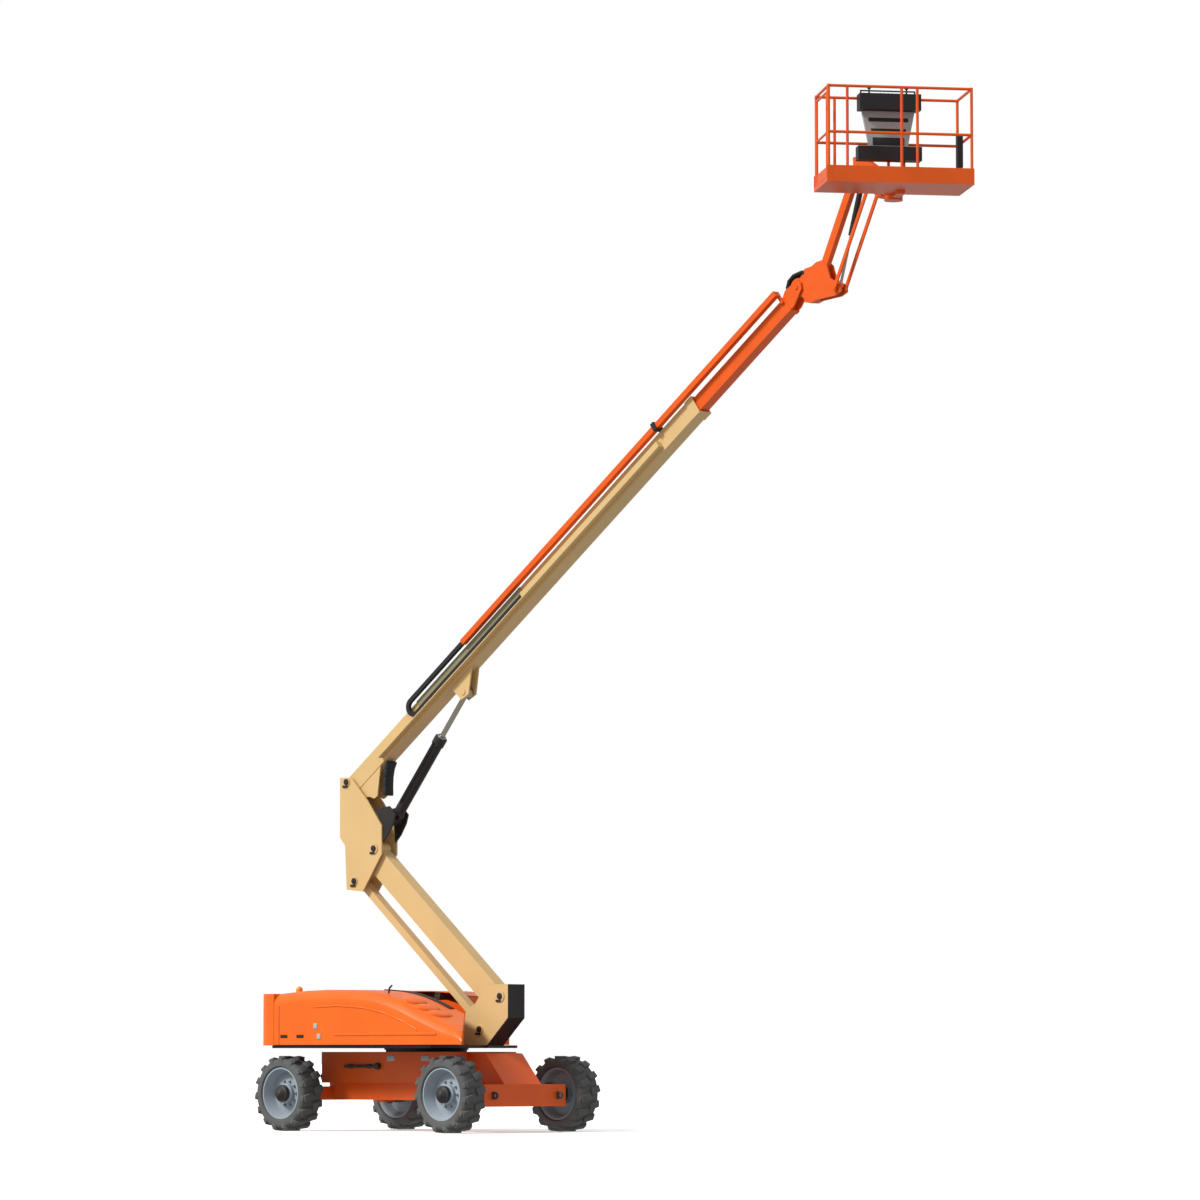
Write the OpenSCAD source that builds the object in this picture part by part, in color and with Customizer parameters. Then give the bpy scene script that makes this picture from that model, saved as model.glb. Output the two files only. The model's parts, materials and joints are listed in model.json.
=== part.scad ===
// Articulating boom lift, standing with its tower and boom raised.
// Origin on the ground under the slewing axis, +X the way the boom points, +Y to the left, +Z up.
// Millimetres.

/* [Wheels] */
// Distance between the two axles
wheelbase = 3050; // [2900:10:3300]
// Width over the tyres
overall_w = 2490; // [2440:10:2700]
// Tyre diameter over the lugs
tyre_d = 1000; // [960:10:1040]
// Tyre width
tyre_w = 360; // [320:5:380]
// Height of a tyre lug
lug_h = 28; // [15:1:35]
// Diameter of the rim's bead seat
rim_d = 690; // [640:10:720]
// How deep the rim's disc lies inside the outer face
rim_inset = 150; // [110:5:180]
// Distance of the steering kingpin from the middle
kingpin_y = 800; // [780:5:815]
// Length of the steering arm
steer_arm = 180; // [160:5:200]

/* [Chassis] */
// Width of the frame
frame_w = 1120; // [1000:10:1130]
// Height of the frame's lower edge
frame_z0 = 640; // [620:10:660]
// Height of the frame's top
frame_z1 = 1050; // [1040:5:1060]
// Front face of the front beam
beam_x = 1840; // [1800:10:1900]
// Width of the front beam
beam_w = 1512; // [1400:10:1520]
// Radius of the bores in the tie-down lugs
lug_bore_r = 25; // [20:1:28]

/* [Turntable] */
// Radius of the slewing ring
slew_r = 540; // [480:10:600]
// Height of the hoods' lower edge
hood_z0 = 1142; // [1141:1:1150]
// Width over the hoods
hood_w = 2400; // [2300:10:2440]
// Rear end of the counterweight
tail_x = -2050; // [-2150:10:-2000]
// Half width of the well between the hoods
well_y = 390; // [360:5:420]
// Sheet thickness of the hoods
hood_t = 12; // [8:1:16]

/* [Tower] */
// Height of the tower's lower pin
tower_z = 1775; // [1760:1:1790]
// Distance of the tower's lower pin ahead of the slewing axis
tower_x = 1530; // [1510:2:1550]
// Tower length from pin to pin
tower_len = 3113; // [3050:1:3150]
// Rest angle of the tower above level
tower_elev = 39.85; // [38:0.05:42]
// Depth of the tower box
tower_h = 330; // [300:5:335]
// Width of the tower box
tower_w = 180; // [150:5:190]
// How far the link's pin lies behind the tower's pin
link_dx = 375; // [365:1:385]
// How far the link's pin lies below the tower's pin
link_dz = 430; // [420:1:440]
// Depth of the link bar
link_h = 100; // [80:5:110]
// Width of the link bar
link_w = 120; // [100:5:140]
// Radius of the large pins
pin_r = 40; // [34:1:46]
// Thickness of the side plates of riser and upright
plate_t = 20; // [14:1:25]
// Space between those side plates
plate_gap = 260; // [250:2:280]

/* [Main boom] */
// Rest angle of the boom above level
boom_elev = 36.3; // [34:0.1:38]
// Length of the base section from its pin
base_len = 7850; // [7700:10:8000]
// Depth of the base section
base_h = 243; // [238:1:250]
// Width of the base section
base_w = 205; // [200:1:215]
// Wall of the base section
base_wall = 8; // [6:1:10]
// Depth of the fly section
fly_h = 195; // [185:1:200]
// Width of the fly section
fly_w = 157; // [150:1:162]
// Wall of the fly section
fly_wall = 7; // [5:1:9]
// Part of the fly that shows beyond the base
fly_out = 1920; // [1880:10:2000]
// Outer size of the square push tube
tube_size = 75; // [70:1:80]
// Outer radius of the lift cylinder
barrel_r = 75; // [65:1:80]
// Length of the lift cylinder's barrel
barrel_len = 1280; // [1270:5:1300]
// Radius of the lift cylinder's rod
rod_r = 35; // [30:1:40]

/* [Jib and platform] */
// Jib length from pin to pin
jib_len = 1400; // [1350:10:1450]
// Rest angle of the jib above level
jib_elev = 65; // [62:0.5:68]
// Platform length
plat_len = 1830; // [1700:10:1950]
// Platform width
plat_w = 850; // [800:10:900]
// Height of the top rail above the platform's underside
plat_h = 1200; // [1150:10:1250]
// Height of the toe boards
toe_h = 200; // [150:5:220]
// Rail tube radius
rail_r = 18; // [15:1:20]
// Rest turn of the platform from square to the boom
plat_turn = -37.7; // [-42:0.1:-34]

/* [Hidden] */
$fn = 48;

// Clearances: a running pin, a moving pair of faces
pin_clear = 0.3;
gap = 6;
eps = 1;

// Colours
orange = [0.91, 0.38, 0.10];
cream = [0.87, 0.76, 0.56];
black = [0.16, 0.14, 0.14];
grey = [0.55, 0.58, 0.60];
rubber = [0.27, 0.27, 0.26];

axle_z = tyre_d / 2;
axle_x = wheelbase / 2;
wheel_y = (overall_w - tyre_w) / 2;
hub_r = 130;
spindle_r = 60;
disc_y = wheel_y + tyre_w / 2 - rim_inset;
hub_len = 90;
deck_z0 = frame_z1 + 50;
deck_t = 35;
// Deck edge inside the hoods, and room that engine and tank leave to them
deck_in = 50;
hood_room = 200;
deck_top = deck_z0 + deck_t;
plate_y = plate_gap / 2;

// Tower and link pins, each [x, z]
t0 = [tower_x, tower_z];
t1 = t0 + tower_len * [-cos(tower_elev), sin(tower_elev)];
l0 = t0 - [link_dx, link_dz];
l1 = t1 - [link_dx, link_dz];

// Boom pivot on the upright, and the pins of the lift cylinder
boom_p = t1 + [-536, 910];
lift_s = 2394;
lift_t = -369;
lift_b = boom_p + [lift_s * cos(boom_elev) - lift_t * sin(boom_elev),
                   lift_s * sin(boom_elev) + lift_t * cos(boom_elev)];
lift_a = t1 + [307, 457];
lift_ang = atan2(lift_b[1] - lift_a[1], lift_b[0] - lift_a[0]);
lift_len = norm(lift_b - lift_a);
base_t = -66;
base_root = -110;

// Nose pin at the fly's head, jib and link pins, platform rotator
// Length of the fly section, and how far its pin stands past its end
fly_len = 6810;
nose_past = 230;
nose_s = base_len + fly_out + nose_past;
nose_p = boom_p + nose_s * [cos(boom_elev), sin(boom_elev)];
jib_j = nose_p + [412, 212];
jib_e = jib_j + [245, -299];
jib_d = jib_len * [cos(jib_elev), sin(jib_elev)];
jib_j1 = jib_j + jib_d;
jib_e1 = jib_e + jib_d;
jib_pin_r = 25;
link_y = 105;
link_bar = 22;
rot_x = jib_j1[0] + 540;
rot_r = 125;
plat_z = jib_j1[1] - 498;
rot_z0 = plat_z - 55;
rot_z1 = plat_z + 330;
// Platform frame: x forward from the rotator, y along its length
plat_x0 = 159;
plat_off = -117;
plat_y0 = plat_off - plat_len / 2;
plat_y1 = plat_off + plat_len / 2;
floor_t = 50;
mid_z = 615;
// Axis of the gate's hinge
gate_x = plat_x0 + plat_w - rail_r - 68;

// Carrier and push tube in the boom's frame: s along, t up, y across
carrier_y = -155;
run_w = 50;
run_h = 55;
run_top_t = 108;
run_low_t = -100;
bend_s = 1614;
tube_s0 = 2840;
tube_wall = 5;
upper_run = 3300;
lower_run = 3460;
tray_s0 = 700;
conduit_s0 = 4060;
conduit_s1 = 7100;

// Frames that the arms are drawn in: local x along the arm, local z across it
module boom_frame() {
    translate([boom_p[0], 0, boom_p[1]]) rotate([0, -boom_elev, 0]) children();
}
module tower_frame() {
    translate([t1[0], 0, t1[1]]) rotate([0, tower_elev, 0]) children();
}
module link_frame() {
    translate([l1[0], 0, l1[1]]) rotate([0, tower_elev, 0]) children();
}
module lift_frame() {
    translate([lift_a[0], 0, lift_a[1]]) rotate([0, -lift_ang, 0]) children();
}
module jib_frame() {
    translate([jib_j[0], 0, jib_j[1]]) rotate([0, -jib_elev, 0]) children();
}
module platform_frame() {
    translate([rot_x, 0, plat_z]) rotate([0, 0, plat_turn]) children();
}

// A plate drawn in the XZ plane, from y0 to y1
module plate(points, y0, y1) {
    translate([0, y1, 0]) rotate([90, 0, 0]) linear_extrude(y1 - y0) polygon(points);
}
// A cylinder along Y at [x, z], from y0 to y1
module pin(at, r, y0, y1) {
    translate([at[0], y1, at[1]]) rotate([90, 0, 0]) cylinder(r = r, h = y1 - y0);
}
// A bar with round ends along local x, centred on y
module round_bar(len, h, w, r_end) {
    rotate([90, 0, 0]) linear_extrude(w, center = true) union() {
        translate([0, -h / 2]) square([len, h]);
        circle(r_end);
        translate([len, 0]) circle(r_end);
    }
}
module box(x0, x1, y0, y1, z0, z1) {
    translate([x0, y0, z0]) cube([x1 - x0, y1 - y0, z1 - z0]);
}
module tube_along(from, to, r) {
    d = to - from;
    translate(from) rotate([0, acos(d[2] / norm(d)), atan2(d[1], d[0])]) cylinder(r = r, h = norm(d), $fn = 24);
}
module both_sides() {
    children();
    mirror([0, 1, 0]) children();
}

// Wheels: drawn round the Y axis with the outer face towards -Y
module tyre_shape() {
    r = tyre_d / 2;
    w = tyre_w / 2;
    bead = rim_d / 2;
    rotate([90, 0, 0]) rotate_extrude($fn = 72)
        polygon([[bead, -w + 34], [bead + 30, -w + 8], [r - 70, -w], [r - 22, -w + 14], [r, -w + 44],
                 [r, w - 44], [r - 22, w - 14], [r - 70, w], [bead + 30, w - 8], [bead, w - 34]]);
}
module rim_shape() {
    r = rim_d / 2;
    w = tyre_w / 2;
    disc = w - rim_inset;
    bore = spindle_r + pin_clear;
    rotate([90, 0, 0]) difference() {
        rotate_extrude($fn = 72)
            polygon([[bore, disc - hub_len], [bore, disc + 60], [hub_r - 20, disc + 60], [hub_r, disc + 40],
                     [hub_r, disc], [r - 80, disc - 20], [r - 40, w - 70], [r - 20, w - 22], [r - 2, w - 22],
                     [r - 2, w - 34], [r, w - 34], [r, -w + 34], [r - 20, -w + 34], [r - 40, -w + 60],
                     [r - 70, disc - 40], [hub_r, disc - 30], [hub_r, disc - hub_len]]);
    }
}
module wheel_at(x, side) {
    translate([x, side * wheel_y, axle_z]) rotate([0, 0, side > 0 ? 180 : 0]) children();
}
module tyre(x, side) { color(rubber) wheel_at(x, side) tyre_shape(); }
module rim(x, side) { color(grey) wheel_at(x, side) rim_shape(); }

module chassis_frame() {
    nose_w = 680;
    keel_w = 900;
    keel_z = 415;
    beam_z0 = 340;
    beam_z1 = 628;
    frame_x0 = -1430;
    frame_x1 = 1120;
    color(orange) union() {
        box(frame_x0, frame_x1, -frame_w / 2, frame_w / 2, frame_z0, frame_z1);
        plate([[frame_x1 - eps, beam_z0 + 60], [frame_x1 - eps, frame_z1], [1450, frame_z1 - 22],
               [beam_x - 40, beam_z1], [beam_x - 40, beam_z0 + 60]], -nose_w / 2, nose_w / 2);
        box(frame_x0 + 130, 1250, -keel_w / 2, keel_w / 2, keel_z, frame_z0 + eps);
        box(1250, beam_x, -beam_w / 2, beam_w / 2, beam_z0, beam_z1);
        // Saddle over the steer axle
        box(-axle_x - 110, frame_x0 + eps, -220, 220, axle_z + 90, frame_z1 - 60);
    }
}

module drive_axle() {
    color(black) both_sides() translate([axle_x, -beam_w / 2, axle_z]) rotate([90, 0, 0]) union() {
        cylinder(r = 150, h = 100);
        cylinder(r = hub_r, h = disc_y - hub_len - gap - beam_w / 2);
        cylinder(r = spindle_r, h = disc_y + 50 - beam_w / 2);
    }
}

module steer_axle() {
    yoke = 55;
    color(orange) difference() {
        union() {
            box(-axle_x - 90, -axle_x + 90, -640, 640, axle_z - 90, axle_z + 90);
            both_sides() {
                translate([-axle_x, -kingpin_y, axle_z + 70]) cylinder(r = 75, h = yoke);
                translate([-axle_x, -kingpin_y, axle_z - 70 - yoke]) cylinder(r = 75, h = yoke);
                box(-axle_x - 75, -axle_x + 75, -kingpin_y, -630, axle_z + 70, axle_z + 70 + yoke);
                box(-axle_x - 75, -axle_x + 75, -kingpin_y, -630, axle_z - 70 - yoke, axle_z - 70);
                box(-axle_x - 75, -axle_x + 75, -680, -630, axle_z - 70 - yoke, axle_z + 70 + yoke);
            }
        }
        both_sides() translate([-axle_x, -kingpin_y, axle_z - 300])
            cylinder(r = pin_r + pin_clear, h = 600);
    }
}

module knuckle(side) {
    arm_y = kingpin_y;
    drum_in = 90;
    color(black) scale([1, side < 0 ? 1 : -1, 1]) union() {
        translate([-axle_x, -kingpin_y, axle_z - 145]) cylinder(r = pin_r, h = 290);
        translate([-axle_x, -kingpin_y, axle_z - 64]) cylinder(r = 70, h = 128);
        translate([-axle_x, -kingpin_y - drum_in, axle_z]) rotate([90, 0, 0])
            cylinder(r = hub_r, h = disc_y - hub_len - gap - kingpin_y - drum_in);
        translate([-axle_x, -kingpin_y, axle_z]) rotate([90, 0, 0])
            cylinder(r = spindle_r, h = disc_y + 50 - kingpin_y);
        box(-axle_x - steer_arm, -axle_x, -arm_y - 25, -arm_y + 25, axle_z - 20, axle_z + 20);
        translate([-axle_x - steer_arm, -arm_y, axle_z - 20]) cylinder(r = 32, h = 40);
        translate([-axle_x - steer_arm, -arm_y, axle_z - 62]) cylinder(r = 14, h = 60);
    }
}

module tie_rod() {
    z = axle_z - 44;
    color(black) difference() {
        union() {
            both_sides() translate([-axle_x - steer_arm, -kingpin_y, z - 16]) cylinder(r = 30, h = 32 - gap / 2);
            translate([-axle_x - steer_arm, kingpin_y - 20, z - 2]) rotate([90, 0, 0])
                cylinder(r = 13, h = 2 * kingpin_y - 40);
        }
        both_sides() translate([-axle_x - steer_arm, -kingpin_y, z - 60])
            cylinder(r = 14 + pin_clear, h = 120);
    }
}

module tie_down_lugs() {
    lug_t = 26;
    color(black) both_sides() {
        plate_lug([beam_x, 484], 50, 50, 1);
        plate_lug([-1430, 720], 70, 55, -1);
    }
    module plate_lug(at, reach, r, dir) {
        y0 = dir > 0 ? -613 : -463;
        difference() {
            union() {
                box(min(at[0], at[0] + dir * reach), max(at[0], at[0] + dir * reach), y0, y0 + lug_t,
                    at[1] - r, at[1] + r);
                pin([at[0] + dir * reach, at[1]], r, y0, y0 + lug_t);
            }
            pin([at[0] + dir * reach, at[1]], lug_bore_r, y0 - eps, y0 + lug_t + eps);
        }
    }
}

module slew_ring() {
    color(black) translate([0, 0, frame_z1]) difference() {
        cylinder(r = slew_r, h = 26, $fn = 96);
        translate([0, 0, -eps]) cylinder(r = slew_r - 120, h = 30, $fn = 96);
    }
}

module deck() {
    color(black) union() {
        translate([0, 0, frame_z1 + 26 + pin_clear]) cylinder(r = slew_r + 20, h = deck_z0 - frame_z1 - 26, $fn = 96);
        box(-1680, 1250, -hood_w / 2 + deck_in, hood_w / 2 - deck_in, deck_z0, deck_top);
        box(1250 - eps, 1300, -plate_y - plate_t, plate_y + plate_t, deck_z0, deck_top);
        box(-1930, -1680 + eps, -hood_w / 2 + hood_room, hood_w / 2 - hood_room, deck_z0, deck_top);
    }
}

module counterweight() {
    top = 1822;
    front = -1690;
    corner = 260;
    notch = 250;
    color(orange) difference() {
        translate([0, 0, deck_top]) linear_extrude(top - deck_top) union() {
            translate([tail_x + corner, -hood_w / 2]) square([front - tail_x - corner, hood_w]);
            translate([tail_x, -hood_w / 2 + corner]) square([front - tail_x, hood_w - 2 * corner]);
            for (s = [-1, 1]) translate([tail_x + corner, s * (hood_w / 2 - corner)]) circle(corner, $fn = 64);
        }
        box(tail_x - eps, front + eps, -notch, notch, deck_top + 90, top + eps);
        box(front, front + 2 * corner, -hood_w / 2 - eps, hood_w / 2 + eps, deck_top - eps, top + eps);
    }
}

module well_walls() {
    color(orange) both_sides() plate([[-1690, deck_top], [1000, deck_top], [760, 1560], [0, 1740], [-1690, 1740]],
        -well_y, -well_y + 8);
}

module riser() {
    outline = [[820, deck_top], [893, 1600], [1060, 1678], [1250, 1900], [1330, 1930], [1667, 1930],
               [1667, 1495], [1283, deck_top]];
    color(cream) difference() {
        union() {
            both_sides() {
                plate(outline, -plate_y - plate_t, -plate_y);
                pin(t0, 75, -plate_y - plate_t - 12, -plate_y);
                pin(l0, 60, -plate_y - plate_t - 12, -plate_y);
            }
            box(820, 1283, -plate_y - eps, plate_y + eps, deck_top, deck_top + 20);
            pin(t0, pin_r, -plate_y - eps, plate_y + eps);
            pin(l0, pin_r, -plate_y - eps, plate_y + eps);
        }
    }
}

module riser_cover() {
    color(black) plate([[1667, 1930], [1679, 1930], [1679, 1490], [1296, deck_top], [1283, deck_top], [1667, 1495]],
        -plate_y - plate_t, plate_y + plate_t);
}

module engine() {
    color(grey) box(-1300, 0, 480, hood_w / 2 - hood_room, deck_top, 1640);
}
module tank() {
    color(black) box(-1200, 300, -hood_w / 2 + hood_room, -480, deck_top, 1560);
}
module beacon() {
    color([0.95, 0.55, 0.1]) translate([-1833, -600, 1822]) union() {
        cylinder(r = 55, h = 16);
        cylinder(r = 45, h = 60);
        translate([0, 0, 60]) sphere(r = 45);
    }
}

// Side hood, drawn for the right side as a shell through stations [x, height of its top]
hood_x0 = -1690 + gap;
hood_top = [[hood_x0, 1825], [-1200, 1860], [-800, 1870], [-300, 1865], [70, 1842], [290, 1808], [500, 1760],
            [720, 1692], [930, 1610], [1300, 1480], [1540, 1400], [1750, 1318], [1830, 1262], [1868, 1210]];
hood_round = 160;
// Section at one station: outer line from the well outwards and down, then back along the inner line
function hood_section(st, t) =
    let (top = st[1], r = min(hood_round, (top - hood_z0) * 0.6), yo = -hood_w / 2,
         outer = concat([[st[0], -well_y - gap, top]],
             [for (i = [0:6]) [st[0], yo + r - r * sin(i * 15), top - r + r * cos(i * 15)]],
             [[st[0], yo, hood_z0]]),
         inner = concat([[st[0], yo + t, hood_z0]],
             [for (i = [6:-1:0]) [st[0], yo + r - (r - t) * sin(i * 15), top - r + (r - t) * cos(i * 15)]],
             [[st[0], -well_y - gap, top - t]]))
    concat(outer, inner);
module hood(side) {
    secs = [for (st = hood_top) hood_section(st, hood_t)];
    n = len(secs[0]);
    m = len(secs);
    points = [for (q = secs) for (v = q) v];
    faces = concat(
        [[for (i = [0:n - 1]) i]],
        [for (j = [0:m - 2]) for (i = [0:n - 1]) let (a = j * n + i, b = j * n + (i + 1) % n) [b, a, a + n]],
        [for (j = [0:m - 2]) for (i = [0:n - 1]) let (a = j * n + i, b = j * n + (i + 1) % n) [b, a + n, b + n]],
        [[for (i = [n - 1:-1:0]) (m - 1) * n + i]]);
    front = hood_top[m - 1];
    color(orange) scale([1, side < 0 ? 1 : -1, 1]) union() {
        polyhedron(points, faces);
        box(front[0] - hood_t, front[0], -hood_w / 2 + hood_t / 2, -well_y - gap, hood_z0, front[1] - hood_t / 2);
    }
}

module tower_boom() {
    top = 25;
    color(cream) tower_frame() difference() {
        union() {
            box(-40, tower_len + 40, -tower_w / 2, tower_w / 2, top - tower_h, top);
            for (x = [0, tower_len]) pin([x, 0], 75, -tower_w / 2, tower_w / 2);
        }
        for (x = [0, tower_len]) pin([x, 0], pin_r + pin_clear, -tower_w, tower_w);
    }
}
module tower_link() {
    color(cream) link_frame() difference() {
        round_bar(tower_len, link_h, link_w, 62);
        for (x = [0, tower_len]) translate([x, 0, 0]) rotate([90, 0, 0])
            cylinder(r = pin_r + pin_clear, h = link_w + 2, center = true);
    }
}

module upright() {
    function at(x, z) = t1 + [x, z];
    outline = [at(-673, 974), at(-668, 162), at(-567, 51), at(-534, -541), at(-223, -574), at(141, -75),
               at(139, 303), at(-133, 642), at(-455, 965)];
    color(cream) union() {
        both_sides() {
            plate(outline, -plate_y - plate_t, -plate_y);
            pin(t1, 70, -plate_y - plate_t - 12, -plate_y);
            pin(l1, 55, -plate_y - plate_t - 12, -plate_y);
            pin(boom_p, 60, -plate_y - plate_t - 12, -plate_y);
        }
        pin(t1, pin_r, -plate_y - eps, plate_y + eps);
        pin(l1, pin_r, -plate_y - eps, plate_y + eps);
        pin(boom_p, pin_r, -plate_y - eps, plate_y + eps);
        // Back web and lower web between the plates
        plate([at(-668, 700), at(-664, 160), at(-644, 160), at(-648, 700)], -plate_y - eps, plate_y + eps);
    }
}

module cylinder_bracket() {
    function at(x, z) = lift_a + [x, z];
    cheek = [at(-307, 73), at(-47, 103), at(73, -7), at(33, -127), at(-67, -277), at(-167, -377), at(-187, -167)];
    color(black) both_sides() plate(cheek, -plate_y, -plate_y + 26);
}

module boom_base() {
    half = base_w / 2;
    top = base_t + base_h / 2;
    low = base_t - base_h / 2;
    ear = 20;
    eye_w = 100;
    color(cream) boom_frame() difference() {
        union() {
            box(base_root, base_len, -half, half, low, top);
            box(base_len - 140, base_len, -half - 10, half + 10, low - 10, top + 10);
            // Deep root plates that carry the pivot and the level rod's pin
            both_sides() plate([[base_root, low + eps], [190, -400], [240, -470], [310, -480], [360, -430], [600, low + eps]],
                -95, -95 + ear);
            // Ears for the lift cylinder's rod
            both_sides() plate([[lift_s - 150, low + eps], [lift_s - 90, lift_t - 60], [lift_s + 60, lift_t - 85],
                [lift_s + 330, low + eps]], -eye_w / 2 - gap - ear, -eye_w / 2 - gap);
            pin([lift_s, lift_t], pin_r, -eye_w / 2 - gap - ear - 10, eye_w / 2 + gap + ear + 10);
        }
        box(320, base_len + eps, -half + base_wall, half - base_wall, low + base_wall, top - base_wall);
        pin([0, 0], pin_r + pin_clear, -half - 30, half + 30);
    }
}

module wear_pads() {
    side_gap = (base_w - fly_w) / 2 - base_wall;
    top_gap = (base_h - fly_h) / 2 - base_wall;
    s0 = base_len - 160;
    s1 = base_len - 10;
    color(black) boom_frame() for (s = [-1, 1]) {
        translate([s0, s > 0 ? fly_w / 2 + pin_clear : -fly_w / 2 - side_gap, base_t - fly_h / 2 + 20])
            cube([s1 - s0, side_gap - pin_clear, fly_h - 40]);
        translate([s0, -fly_w / 2 + 15, s > 0 ? base_t + fly_h / 2 + pin_clear : base_t - fly_h / 2 - top_gap])
            cube([s1 - s0, fly_w - 30, top_gap - pin_clear]);
    }
}

module boom_fly() {
    s0 = base_len + fly_out - fly_len;
    s1 = base_len + fly_out;
    ear_in = 55;
    color(orange) boom_frame() difference() {
        union() {
            box(s0, s1, -fly_w / 2, fly_w / 2, base_t - fly_h / 2, base_t + fly_h / 2);
            box(s1 - 60, s1, -fly_w / 2 - 8, fly_w / 2 + 8, base_t - fly_h / 2 - 12, base_t + fly_h / 2 + 12);
            both_sides() plate([[s1 - 40, base_t + fly_h / 2], [s1 - 40, base_t - fly_h / 2], [s1 + 60, base_t - fly_h / 2],
                [nose_s + 60, -70], [nose_s + 90, 0], [nose_s + 60, 70], [s1 + 60, 90]], -fly_w / 2, -ear_in);
            pin([nose_s, 0], jib_pin_r + 5, -fly_w / 2 - 10, fly_w / 2 + 10);
        }
        box(s0 - eps, s1 - 80, -fly_w / 2 + fly_wall, fly_w / 2 - fly_wall, base_t - fly_h / 2 + fly_wall,
            base_t + fly_h / 2 - fly_wall);
    }
}

module push_tube() {
    s1 = base_len + fly_out;
    half = tube_size / 2;
    color(orange) boom_frame() difference() {
        union() {
            box(tube_s0, s1 - 20, carrier_y - half, carrier_y + half, run_top_t - half, run_top_t + half);
            // Arm that ties the tube to the fly's head flange
            box(s1 - 60, s1 - 20, carrier_y + half - eps, -fly_w / 2 - 8, base_t + fly_h / 2 - 60, run_top_t + half);
        }
        box(tube_s0 - eps, s1 - 200, carrier_y - half + tube_wall, carrier_y + half - tube_wall,
            run_top_t - half + tube_wall, run_top_t + half - tube_wall);
    }
}

module boom_guides() {
    wear_pads();
    tube_guide();
}

module carrier_tray() {
    half = tube_size / 2;
    side = -base_w / 2;
    color(cream) boom_frame() difference() {
        union() {
            // Shelf under the lower run, then a closed conduit that it slides into
            box(tray_s0, conduit_s0 + eps, carrier_y - half, side, run_low_t - half - 3, run_low_t - run_h / 2 - pin_clear);
            box(conduit_s0, conduit_s1, carrier_y - half, side, run_low_t - half - 3, run_low_t + half);
        }
        box(conduit_s0 - eps, conduit_s1 - 20, carrier_y - half + 4, side - 12, run_low_t - run_h / 2 - pin_clear,
            run_low_t + half - 4);
    }
}

module tube_guide() {
    half = tube_size / 2;
    s = 7160;
    color(black) boom_frame() difference() {
        box(s, s + 60, carrier_y - half - 22, -base_w / 2 + 30, base_t + base_h / 2, run_top_t + half + 22);
        box(s - eps, s + 60 + eps, carrier_y - half - 2, carrier_y + half + 2, run_top_t - half - 2, run_top_t + half + 2);
    }
}

module carrier_loop() {
    r = (run_top_t - run_low_t) / 2;
    mid = (run_top_t + run_low_t) / 2;
    color(black) boom_frame() union() {
        box(bend_s, bend_s + upper_run, carrier_y - run_w / 2, carrier_y + run_w / 2, run_top_t - run_h / 2,
            run_top_t + run_h / 2);
        box(bend_s, bend_s + lower_run, carrier_y - run_w / 2, carrier_y + run_w / 2, run_low_t - run_h / 2,
            run_low_t + run_h / 2);
        translate([bend_s, carrier_y, mid]) rotate([90, 0, 0]) rotate([0, 0, 90])
            rotate_extrude(angle = 180, $fn = 64) translate([r - run_h / 2, -run_w / 2]) square([run_h, run_w]);
    }
}

module lift_rod() {
    eye_w = 100;
    color(grey) lift_frame() difference() {
        union() {
            translate([lift_len - 1410, 0, 0]) rotate([0, 90, 0]) cylinder(r = rod_r, h = 1410);
            pin([lift_len, 0], 70, -eye_w / 2, eye_w / 2);
        }
        pin([lift_len, 0], pin_r + pin_clear, -eye_w, eye_w);
    }
}
module lift_barrel() {
    eye_w = 90;
    bore = barrel_r - 14;
    color(black) lift_frame() difference() {
        union() {
            rotate([0, 90, 0]) cylinder(r = barrel_r, h = barrel_len);
            translate([barrel_len - 110, 0, 0]) rotate([0, 90, 0]) cylinder(r = barrel_r + 12, h = 110);
            pin([0, 0], barrel_r + 8, -eye_w / 2, eye_w / 2);
        }
        translate([85, 0, 0]) rotate([0, 90, 0]) cylinder(r = bore, h = barrel_len - 85 - 60);
        translate([85, 0, 0]) rotate([0, 90, 0]) cylinder(r = rod_r + pin_clear, h = barrel_len);
    }
}

module nose_knuckle() {
    lug = 48;
    cheek_in = 46;
    cheek_out = 72;
    function at(x, z) = nose_p + [x, z];
    body = [at(40, -110), at(150, -190), at(330, -210), at(440, -150), at(470, -60), at(430, 0), at(330, 130), at(250, 250),
            at(130, 220), at(30, 120)];
    color(orange) difference() {
        union() {
            pin(nose_p, 120, -lug, lug);
            plate([at(0, -100), at(60, -110), at(140, -185), at(140, 215), at(40, 120), at(0, 100)], -lug, lug);
            plate([at(130, -200), at(250, -215), at(330, -190), at(330, 70), at(250, 240), at(130, 220)], -cheek_out, cheek_out);
            both_sides() plate([at(250, 240), at(330, 285), at(420, 300), at(500, 240), at(560, 60), at(730, -40), at(735, -120), at(640, -165),
                at(330, -190), at(250, -100)], -cheek_out, -cheek_in);
            both_sides() pin(jib_e, 18, -link_y - link_bar / 2 - 4, -cheek_in);
            pin(jib_j, jib_pin_r, -cheek_out, cheek_out);
        }
        pin(nose_p, jib_pin_r + 5 + pin_clear, -lug - 1, lug + 1);
    }
}

module jib_arm() {
    w = 80;
    color(orange) jib_frame() difference() {
        union() {
            round_bar(jib_len, 100, w, 56);
            // Lug that holds the cylinder's barrel
            plate([[1080, -40], [1250, -40], [1240, -110], [1130, -110]], -w / 2, w / 2);
        }
        for (x = [0, jib_len]) translate([x, 0, 0]) rotate([90, 0, 0])
            cylinder(r = jib_pin_r + pin_clear, h = w + 2, center = true);
    }
}
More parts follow.
